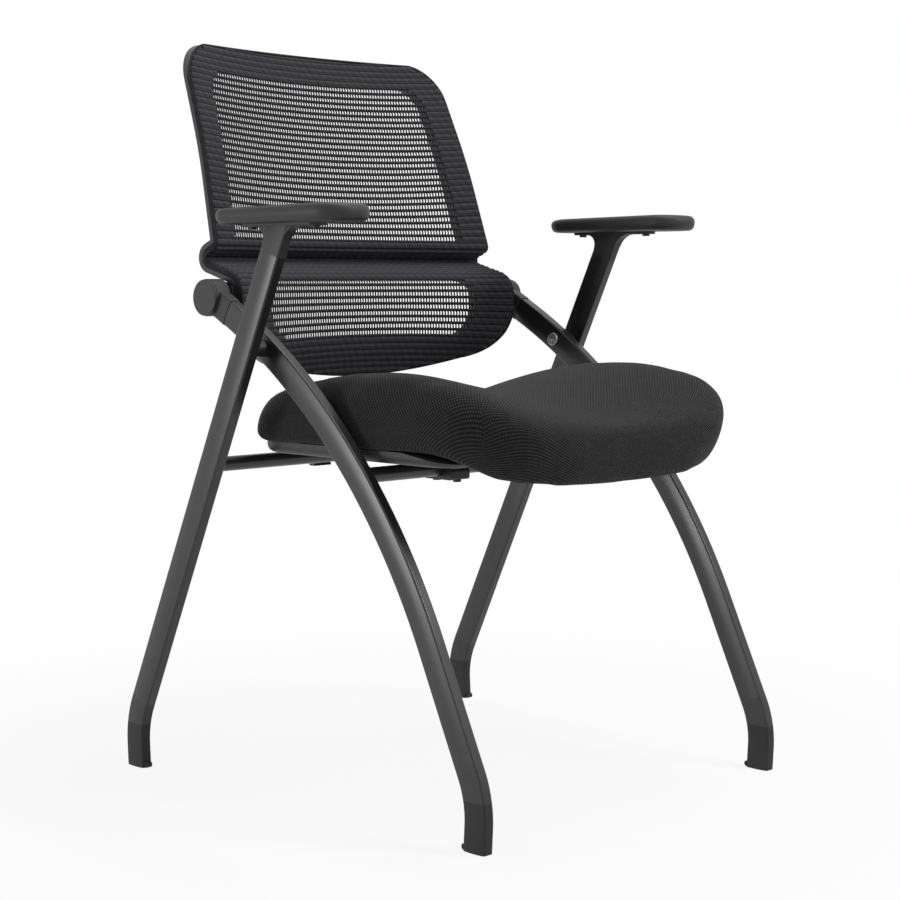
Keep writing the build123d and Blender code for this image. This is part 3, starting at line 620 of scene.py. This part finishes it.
def press_rim(mesh):
    """Bring the cover's lower edge out over the pan's rim, and lay it flat there."""
    points = all_points(mesh) / MM
    x, y, z = points.T
    on_pan = ramp(y, droop_start - pan_front_ease, droop_start + pan_front_ease)
    near_rim = np.clip((rim_press_top - z) / (rim_press_top - seat_seam), 0.0, 1.0) ** 1.5 * on_pan
    points[:, 0] += rim_press * near_rim * ramp(np.abs(x), *rim_press_x) * np.sign(x)
    points[:, 1] += rim_press * near_rim * ramp(y, *rim_press_y)
    resting = y > droop_start
    points[resting, 2] = np.maximum(z[resting], seat_seam)
    outside = np.maximum(ramp(np.abs(points[:, 0]), *rim_drop_x), ramp(points[:, 1], *rim_drop_y))
    points[:, 2] -= rim_drop * near_rim * outside
    move_points(mesh, points * MM)


def cushion_cover():
    """The whole cover: a loft, evened out, stuffed, eased and drawn over the pan."""
    piece = lofted("seat_cushion_cover", [cushion_section(y) for y in cushion_rows()], seat_cloth)
    even = piece.modifiers.new("Even faces", "REMESH")
    even.mode = "VOXEL"
    even.voxel_size = cushion_voxel * MM
    eased = piece.modifiers.new("Ease", "SMOOTH")
    eased.iterations = 20
    settle(piece)
    pull_corners(piece.data)
    stuff(piece, cushion_cap)
    eased = piece.modifiers.new("Ease", "SMOOTH")
    eased.iterations = 14
    settle(piece)
    press_rim(piece.data)
    fine = piece.modifiers.new("Fine", "SUBSURF")
    fine.levels = fine.render_levels = 1
    settle(piece)
    lay_cloth(piece.data)
    return smooth_shaded(piece)


cushion = cushion_cover()
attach(cushion, "seat")
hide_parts("seat_cushion")


# Nets
def rounded_line(points, rounds):
    """A line with its corners rounded, as close points."""
    made = [np.array(points[0], float)]
    for before, corner, after, radius in zip(points, points[1:], points[2:], rounds):
        corner = np.array(corner, float)
        a = np.array(before) - corner
        b = np.array(after) - corner
        a = a / np.linalg.norm(a)
        b = b / np.linalg.norm(b)
        half = np.arccos(np.clip(a @ b, -1, 1)) / 2
        run = radius / np.tan(half)
        middle = corner + (a + b) / np.linalg.norm(a + b) * radius / np.sin(half)
        start = corner + a * run - middle
        end = corner + b * run - middle
        turn = pi - 2 * half
        count = max(4, ceil(turn * radius / line_round_step))
        for i in range(count + 1):
            share = i / count
            made.append(middle + (start * sin((1 - share) * turn) + end * sin(share * turn)) / sin(turn))
    made.append(np.array(points[-1], float))
    return np.array(made)


def along_line(line, distance):
    """The point of a line at a distance from its start, and its direction there."""
    steps = np.linalg.norm(np.diff(line, axis=0), axis=1)
    ends = np.concatenate([[0], np.cumsum(steps)])
    i = int(np.clip(np.searchsorted(ends, distance) - 1, 0, len(steps) - 1))
    way = (line[i + 1] - line[i]) / max(steps[i], 1e-9)
    return line[i] + way * (distance - ends[i]), way


# circles through the bottom corner and the bottom edge of the back's outline
corner_foot = (back_bottom_half, back_bottom_rise)
low_corner = circle_through(corner_foot, back_corner, (back_half_width, back_side_bottom))
low_edge = circle_through((-back_bottom_half, back_bottom_rise), (0, back_bottom), corner_foot)
side_slope = (back_half_width - back_top_half) / (back_top - back_waist)
top_corner_z = back_top - back_top_corner
top_corner_x = back_half_width - (top_corner_z - back_waist) * side_slope
top_corner_x -= back_top_corner * hypot(1, side_slope)
# where the two nets meet, and the middle of their thickness behind the back's line
meet = tuple((a + b) / 2 for a, b in zip(back_line[fold], back_line[fold + 1]))
net_middle = -net_thickness / 2


def back_edge(z):
    """Half the back's width at a height."""
    if z < back_bottom_rise:
        return sqrt(max(0.0, low_edge[2] ** 2 - (z - low_edge[1]) ** 2))
    if z < back_side_bottom:
        return low_corner[0] + sqrt(max(0.0, low_corner[2] ** 2 - (z - low_corner[1]) ** 2))
    if z > top_corner_z + back_top_corner * side_slope:
        return top_corner_x + sqrt(max(0.0, back_top_corner**2 - (z - top_corner_z) ** 2))
    return back_half_width - max(0.0, z - back_waist) * side_slope


def window_half(z):
    """Half the width of the opening behind the net at a height, or nothing over a rail."""
    if waist_top < z < window_top:
        half = back_half_width - upper_rail_width - (z - back_waist) * side_slope
        return half - corner_loss(window_top - z, window_top_corner)
    if window_bottom < z < waist_bottom:
        half = back_half_width - lumbar_rail_width
        half -= corner_loss(z - window_bottom, lumbar_low_corner)
        return half - corner_loss(waist_bottom - z, lumbar_top_corner)
    return 0.0


def row_rise(distance, line):
    """How far a row has climbed at the back's edge: the back bows square to its lean, not level."""
    z = along_line(line, distance)[0][1]
    heights = (back_bottom, level_row_height, waist_top, risen_row_height)
    return float(np.interp(z, heights, (-lumbar_row_fall, 0, 0, upper_row_rise)))


def on_back(line, distance, x, forward):
    """A point of the bowed back: at a distance down its line, out to x, and in front of the line."""
    return on_back_level(line, distance - row_rise(distance, line) * (x / back_half_width) ** 2, x, forward)


def on_back_level(line, distance, x, forward):
    """The same for a path that keeps its height as it goes out to x."""
    (y, z), (way_y, way_z) = along_line(line, distance)
    y, z = y + forward * way_z, z - forward * way_y
    return (x, sqrt((bow_radius + y) ** 2 - x**2) - bow_radius, z)


def row_path(line, distance, half, start, end):
    """A row's path from start to end across the back, and its girths: it thins where it meets a side."""
    rim = half - row_end_run
    inner_start, inner_end = max(start, -rim), min(end, rim)
    count = max(2, ceil((inner_end - inner_start) / row_step))
    places = [inner_start + (inner_end - inner_start) * i / count for i in range(count + 1)]
    girths = [1.0] * len(places)
    if start < -rim:
        places.insert(0, start)
        girths.insert(0, row_taper)
    if end > rim:
        places.append(end)
        girths.append(row_taper)
    return [on_back(line, distance, x, net_middle) for x in places], girths


def row_half(line, distance):
    """Half the length of a row, out to where it meets the back's edge."""
    for x in np.arange(back_half_width, shortest_half_row, -row_search_step):
        z = on_back(line, distance, x, 0)[2]
        if z + row_reach < back_top and x < min(back_edge(z - row_reach), back_edge(z + row_reach)):
            return x - row_end_gap
    return 0.0


def height_on(line, z):
    """How far down the line a height is first reached."""
    steps = np.linalg.norm(np.diff(line, axis=0), axis=1)
    return float(np.interp(-z, -line[:, 1], np.concatenate([[0], np.cumsum(steps)])))


def edge_path(line, spots, forward):
    """A path round the back's edge: the right side's points mirrored to the left, and then themselves."""
    right = [on_back_level(line, height_on(line, z), x, forward) for x, z in spots]
    return [(-x, y, z) for x, y, z in right] + right[::-1]


def side_spots(line, corner_z):
    """Points along the right side, from where the two nets meet to where its corner begins."""
    start, end = height_on(line, meet[1]), height_on(line, corner_z)
    count = ceil(abs(end - start) / side_edge_step)
    heights = [along_line(line, start + (end - start) * i / count)[0][1] for i in range(count)]
    return [(back_edge(z) - binding_and_shade_inset, z) for z in heights]


def top_spots():
    """Points round the right top corner, from the side to the middle of the top edge."""
    turns = [radians(6 * i) for i in range(16)]
    heights = [back_top - binding_and_shade_inset - back_top_corner * (1 - sin(turn)) for turn in turns]
    spots = [(back_edge(z) - binding_and_shade_inset, z) for z in heights]
    level = np.arange(spots[-1][0] - top_edge_step, 0, -top_edge_step)
    return spots + [(x, heights[-1]) for x in level]


def bottom_spots():
    """Points round the right bottom corner, from the side to the middle of the bottom edge."""
    heights = np.arange(back_side_bottom, back_bottom_rise, -side_edge_step)
    spots = [(back_edge(z) - binding_and_shade_inset, z + low_corner_lift) for z in heights]
    for x in np.arange(back_bottom_half, 0, -bottom_edge_step):
        spots.append((x, low_edge[1] - sqrt(low_edge[2] ** 2 - x**2) + binding_and_shade_inset))
    return spots


def net_lines(line, edge_spots):
    """The net's yarns and padded rolls: each a path, its girths in millimetres and whether it is a roll."""
    length = np.linalg.norm(np.diff(line, axis=0), axis=1).sum()
    lines = []
    rows = int(length / row_pitch)
    for row in range(rows + 1):
        at = row * row_pitch + (length - rows * row_pitch) / 2
        half = row_half(line, at)
        if half:
            rib, girths = row_path(line, at, half, -half, half)
            lines.append((rib, [rib_radius * girth for girth in girths], False))
        below = at + row_pitch
        between = at + row_pitch / 2
        half = row_half(line, between)
        if below > length or not half:
            continue
        open_half = min(window_half(along_line(line, spot)[0][1]) for spot in (at, between, below))
        if not open_half:
            lines.append((*row_path(line, between, half, -half, half), True))
            continue
        lines.append((*row_path(line, between, half, -half, -open_half - 1), True))
        lines.append((*row_path(line, between, half, open_half + 1, half), True))
        count = int(2 * open_half / strand_pitch)
        for i in range(count + 1):
            x = (i - count / 2) * strand_pitch
            strand = [
                on_back(line, at, x, net_middle),
                on_back(line, between, x, net_middle + strand_arch),
                on_back(line, below, x, net_middle),
            ]
            lines.append((strand, [strand_radius] * 3, False))
    outline = side_spots(line, edge_spots[0][1]) + edge_spots
    # the dark band of yarns round the edge: it closes the edge and covers the rows' ends, and is painted
    # shade where the net turns away
    for i in range(binding_and_shade_yarns):
        edge_band_and_shade = edge_path(line, outline, net_middle - binding_and_shade_depth - i * binding_and_shade_step)
        lines.append((edge_band_and_shade, [binding_and_shade_radius] * len(edge_band_and_shade), False))
    return lines


def net_tree():
    """Round yarns along lines, and flattened rolls along those marked as rolls."""
    tree = bpy.data.node_groups.new("Net from lines", "GeometryNodeTree")
    for name, kind in (
        ("Lines", "NodeSocketGeometry"),
        ("Yarn sides", "NodeSocketInt"),
        ("Roll sides", "NodeSocketInt"),
        ("Roll depth", "NodeSocketFloat"),
        ("Roll height", "NodeSocketFloat"),
        ("Yarn", "NodeSocketMaterial"),
        ("Pile", "NodeSocketMaterial"),
    ):
        tree.interface.new_socket(name, in_out="INPUT", socket_type=kind)
    tree.interface.new_socket("Net", in_out="OUTPUT", socket_type="NodeSocketGeometry")
    given = node(tree, "NodeGroupInput").outputs
    is_roll = node(tree, "GeometryNodeInputNamedAttribute", {"Name": "roll"}, data_type="BOOLEAN")
    girth = node(tree, "GeometryNodeInputNamedAttribute", {"Name": "girth"}, data_type="FLOAT")
    parted = node(
        tree,
        "GeometryNodeSeparateGeometry",
        {"Geometry": given["Lines"], "Selection": is_roll.outputs["Attribute"]},
        domain="POINT",
    )
    yarn_lines = node(tree, "GeometryNodeMeshToCurve", {"Mesh": parted.outputs["Inverted"]})
    yarn_round = node(
        tree,
        "GeometryNodeCurvePrimitiveCircle",
        {"Resolution": given["Yarn sides"], "Radius": 1.0},
        mode="RADIUS",
    )
    yarns = node(
        tree,
        "GeometryNodeCurveToMesh",
        {
            "Curve": yarn_lines.outputs[0],
            "Profile Curve": yarn_round.outputs[0],
            "Scale": girth.outputs["Attribute"],
            "Fill Caps": True,
        },
    )
    roll_lines = node(tree, "GeometryNodeMeshToCurve", {"Mesh": parted.outputs["Selection"]})
    roll_upright = node(tree, "GeometryNodeSetCurveNormal", {"Curve": roll_lines.outputs[0]}, mode="Z_UP")
    roll_round = node(
        tree,
        "GeometryNodeCurvePrimitiveCircle",
        {"Resolution": given["Roll sides"], "Radius": 1.0},
        mode="RADIUS",
    )
    roll_size = {"X": given["Roll depth"], "Y": given["Roll height"], "Z": 1.0}
    roll_scale = node(tree, "ShaderNodeCombineXYZ", roll_size)
    roll_flat = node(
        tree, "GeometryNodeTransform", {"Geometry": roll_round.outputs[0], "Scale": roll_scale.outputs[0]}
    )
    rolls = node(
        tree,
        "GeometryNodeCurveToMesh",
        {
            "Curve": roll_upright.outputs[0],
            "Profile Curve": roll_flat.outputs[0],
            "Scale": girth.outputs["Attribute"],
            "Fill Caps": True,
        },
    )
    in_yarn = {"Geometry": yarns.outputs[0], "Material": given["Yarn"]}
    clad_yarns = node(tree, "GeometryNodeSetMaterial", in_yarn)
    in_pile = {"Geometry": rolls.outputs[0], "Material": given["Pile"]}
    clad_rolls = node(tree, "GeometryNodeSetMaterial", in_pile)
    joined = node(tree, "GeometryNodeJoinGeometry", {"Geometry": clad_yarns.outputs[0]})
    tree.links.new(clad_rolls.outputs[0], joined.inputs[0])
    real = node(tree, "GeometryNodeRealizeInstances", {"Geometry": joined.outputs[0]})
    node(tree, "NodeGroupOutput", {"Net": real.outputs[0]})
    return tree


knit = net_tree()
knit_inputs = {item.name: item.identifier for item in knit.interface.items_tree if item.in_out == "INPUT"}


def knit_net(name, points, rounds, edge_spots, node_name):
    """A whole net: its yarns and rolls as one piece."""
    line = rounded_line(points, rounds)
    spots = []
    edges = []
    girths = []
    marks = []
    for path, sizes, is_roll in net_lines(line, edge_spots):
        first = len(spots)
        spots += path
        edges += [(first + i, first + i + 1) for i in range(len(path) - 1)]
        girths += sizes if is_roll else [size * MM for size in sizes]
        marks += [is_roll] * len(path)
    mesh = bpy.data.meshes.new(name)
    mesh.from_pydata([tuple(v * MM for v in p) for p in spots], edges, [])
    girth = mesh.attributes.new("girth", "FLOAT", "POINT")
    girth.data.foreach_set("value", girths)
    roll = mesh.attributes.new("roll", "BOOLEAN", "POINT")
    roll.data.foreach_set("value", marks)
    piece = bpy.data.objects.new(name, mesh)
    scene.collection.objects.link(piece)
    sweep = piece.modifiers.new("Knit", "NODES")
    sweep.node_group = knit
    sweep[knit_inputs["Yarn sides"]] = yarn_sides
    sweep[knit_inputs["Roll sides"]] = roll_sides
    sweep[knit_inputs["Roll depth"]] = roll_depth * MM
    sweep[knit_inputs["Roll height"]] = (row_pitch / 2 - rib_radius * rib_overlap) * MM
    sweep[knit_inputs["Yarn"]] = net_yarn_and_painted_shade
    sweep[knit_inputs["Pile"]] = net_pile
    settle(piece)
    smooth_shaded(piece)
    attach(piece, "back")
    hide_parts(node_name)


upper_line = back_line[: fold + 1] + [meet]
lumbar_line = [meet] + back_line[fold + 1 :]
knit_net("upper_net_knit", upper_line, back_rounds[:fold], top_spots(), "upper_net")
knit_net("lumbar_net_knit", lumbar_line, back_rounds[fold:], bottom_spots(), "lumbar_net")


# Arm pads
def pad_ring(half_width, front, rear, corner, x, z):
    """A rounded outline of an arm pad at a height."""
    centres = [(half_width - corner, rear - corner, 0), (corner - half_width, rear - corner, 90)]
    centres += [(corner - half_width, front + corner, 180), (half_width - corner, front + corner, 270)]
    ring = []
    for cx, cy, first in centres:
        for i in range(11):
            turn = radians(first + 9 * i)
            ring.append((x + cx + corner * cos(turn), cy + corner * sin(turn), z))
    return ring


def pad_fall(y):
    """How far the pad's top falls away towards its ends."""
    share = (y - arm_y - pad_peak) / (arm_length / 2)
    return (pad_rear_fall if share > 0 else pad_front_fall) * share**2


def arm_pad(side, sign):
    """A pad with a rolled edge, a flat sole and a gently crowned top."""
    # inset from the outline, and height over the sole
    profile = [(30, 0), (12, 0), (6.5, 0.3), (3.2, 1.6), (1.2, 4.2), (0.2, 8.0), (0, 11.5), (0.5, 14.5)]
    profile += [(1.8, 17.0), (4.2, 18.8), (8, 19.7), (14, 20.1), (22, 20.35), (30, arm_thickness)]
    rings = []
    for inset, height in profile:
        corner = max(3.0, pad_corner - inset)
        front = arm_y - arm_length / 2 + inset
        rear = arm_y + arm_length / 2 - inset
        ring = pad_ring(arm_width / 2 - inset, front, rear, corner, sign * arm_x, arm_bottom + height)
        lift = max(0.0, height - pad_sole_height) / (arm_thickness - pad_sole_height)
        rings.append([(x, y, z - lift * pad_fall(y)) for x, y, z in ring])
    piece = smooth_shaded(lofted(f"arm_pad_skin_{side}", rings, arm_skin))
    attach(piece, "rear_frame")
    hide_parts(f"arm_pad_{side}")


for side, sign in (("left", -1), ("right", 1)):
    arm_pad(side, sign)


# Floor, light and camera
def white_for_camera(tree):
    """1 where the ray comes from the camera, a mirror or clear glass, and 0 for light."""
    rays = node(tree, "ShaderNodeLightPath")
    shiny = node(
        tree,
        "ShaderNodeMath",
        {0: rays.outputs["Is Camera Ray"], 1: rays.outputs["Is Glossy Ray"]},
        operation="ADD",
        use_clamp=True,
    )
    return node(
        tree,
        "ShaderNodeMath",
        {0: shiny.outputs[0], 1: rays.outputs["Is Transmission Ray"]},
        operation="ADD",
        use_clamp=True,
    )


def pale_floor():
    """Plain pale floor: white to the camera, and it keeps a faint shadow near the chair."""
    material, tree = new_material("Paper, pale and matt")
    place = node(tree, "ShaderNodeTexCoord").outputs["Object"]
    far = node(tree, "ShaderNodeVectorMath", {0: place}, operation="LENGTH")
    edge = node(
        tree,
        "ShaderNodeMapRange",
        {"Value": far.outputs["Value"], "From Min": 0.45, "From Max": 1.1, "To Min": 0.9},
    )
    seen = white_for_camera(tree).outputs[0]
    share = node(tree, "ShaderNodeMath", {0: seen, 1: edge.outputs["Result"]}, operation="MULTIPLY")
    paper = node(tree, "ShaderNodeBsdfDiffuse", {"Color": linear("#f4f4f2")})
    white = node(tree, "ShaderNodeEmission", {"Color": (1, 1, 1, 1), "Strength": 1.0})
    mixed = {0: share.outputs[0], 1: paper.outputs[0], 2: white.outputs[0]}
    finish_material(tree, node(tree, "ShaderNodeMixShader", mixed))
    return material


floor_corners = [(floor_half * x, floor_half * y, 0) for x, y in ((-1, -1), (1, -1), (1, 1), (-1, 1))]
floor = new_piece("floor", floor_corners, [(0, 1, 2, 3)], pale_floor())

world = bpy.data.worlds.new("Studio")
scene.world = world
world.use_nodes = True
sky = world.node_tree
sky.nodes.clear()
seen = white_for_camera(sky)
around = node(sky, "ShaderNodeBackground", {"Color": linear("#f2f4f8"), "Strength": 0.25})
behind = node(sky, "ShaderNodeBackground", {"Color": (1, 1, 1, 1), "Strength": 1.0})
mixed = node(sky, "ShaderNodeMixShader", {0: seen.outputs[0], 1: around.outputs[0], 2: behind.outputs[0]})
node(sky, "ShaderNodeOutputWorld", {"Surface": mixed.outputs[0]})

chair_middle = Vector((0, 0, 0.45))


def soft_box(name, place, size, watts):
    """A large soft lamp that faces the chair."""
    lamp = bpy.data.lights.new(name, "AREA")
    lamp.shape = "DISK"
    lamp.size = size
    lamp.energy = watts
    lit = bpy.data.objects.new(name, lamp)
    lit.location = place
    lit.rotation_euler = (chair_middle - Vector(place)).to_track_quat("-Z", "Y").to_euler()
    scene.collection.objects.link(lit)


# one lamp high at the front right, and a weaker one low at the left rear
soft_box("Key", (1.4, -2.4, 2.3), 0.9, 36)
soft_box("Low left", (-2.4, 1.1, 0.45), 0.7, 18)

# a strip overhead, along the chair, draws the bright line down the bowed legs
strip = bpy.data.lights.new("Strip", "AREA")
strip.shape = "RECTANGLE"
strip.size = 0.15
strip.size_y = 2.0
strip.energy = 28
overhead = bpy.data.objects.new("Strip", strip)
overhead.location = (0.45, -0.4, 2.8)
scene.collection.objects.link(overhead)

# the camera stands where the photograph was taken from
lens = bpy.data.cameras.new("Camera")
lens.sensor_width = 36.0
lens.lens = 77.14
camera = bpy.data.objects.new("Camera", lens)
camera.location = (-1.631, -1.6174, 0.585)
camera.rotation_euler = (radians(90 - 5.04), 0, radians(-44.99))
scene.collection.objects.link(camera)
scene.camera = camera
